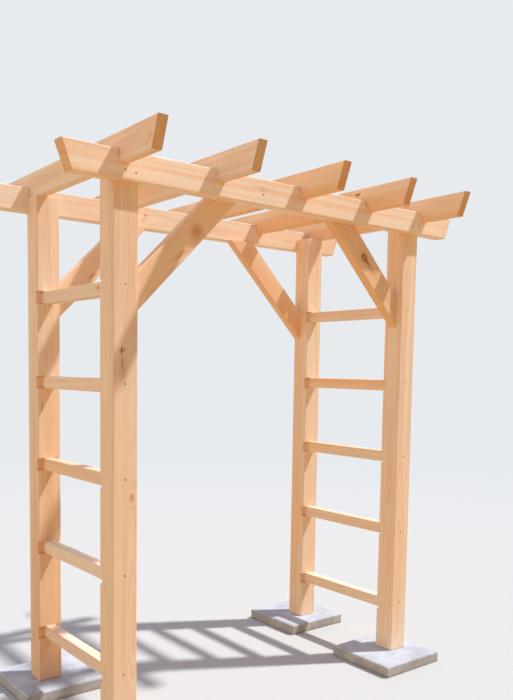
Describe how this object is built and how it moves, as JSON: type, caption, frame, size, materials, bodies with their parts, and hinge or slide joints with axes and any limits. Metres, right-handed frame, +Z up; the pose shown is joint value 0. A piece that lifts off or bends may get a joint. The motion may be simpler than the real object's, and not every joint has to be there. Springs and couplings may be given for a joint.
{
  "type": "garden pergola arch",
  "caption": "Wooden garden arch with two ladder sides, notched beams, slant-cut rafters and knee braces, standing on square concrete pavers.",
  "frame": {"origin": "centre of the footprint at ground level, under the middle of the walkway", "axes": "+Z up, +X along the two beams and across the walkway, +Y along the rafters and through the walkway, away from the side that the picture shows"},
  "size_m": [2.028, 1.316, 2.219],
  "materials": {
    "post_timber": "planed bare softwood",
    "beam_timber": "planed bare softwood",
    "rafter_timber": "planed bare softwood",
    "rung_timber": "planed bare softwood",
    "brace_timber": "planed bare softwood",
    "concrete": "pale grey cast concrete"
  },
  "bodies": {
    "root": {"front_left_paver": "concrete", "front_left_post": "post_timber", "front_left_brace": "brace_timber", "front_right_paver": "concrete", "front_right_post": "post_timber", "front_right_brace": "brace_timber", "back_left_paver": "concrete", "back_left_post": "post_timber", "back_left_brace": "brace_timber", "back_right_paver": "concrete", "back_right_post": "post_timber", "back_right_brace": "brace_timber", "front_beam": "beam_timber", "back_beam": "beam_timber", "rafter_1": "rafter_timber", "rafter_2": "rafter_timber", "rafter_3": "rafter_timber", "rafter_4": "rafter_timber", "rafter_5": "rafter_timber", "left_rung_1": "rung_timber", "left_rung_2": "rung_timber", "left_rung_3": "rung_timber", "left_rung_4": "rung_timber", "left_rung_5": "rung_timber", "right_rung_1": "rung_timber", "right_rung_2": "rung_timber", "right_rung_3": "rung_timber", "right_rung_4": "rung_timber", "right_rung_5": "rung_timber"}
  },
  "joints": []
}
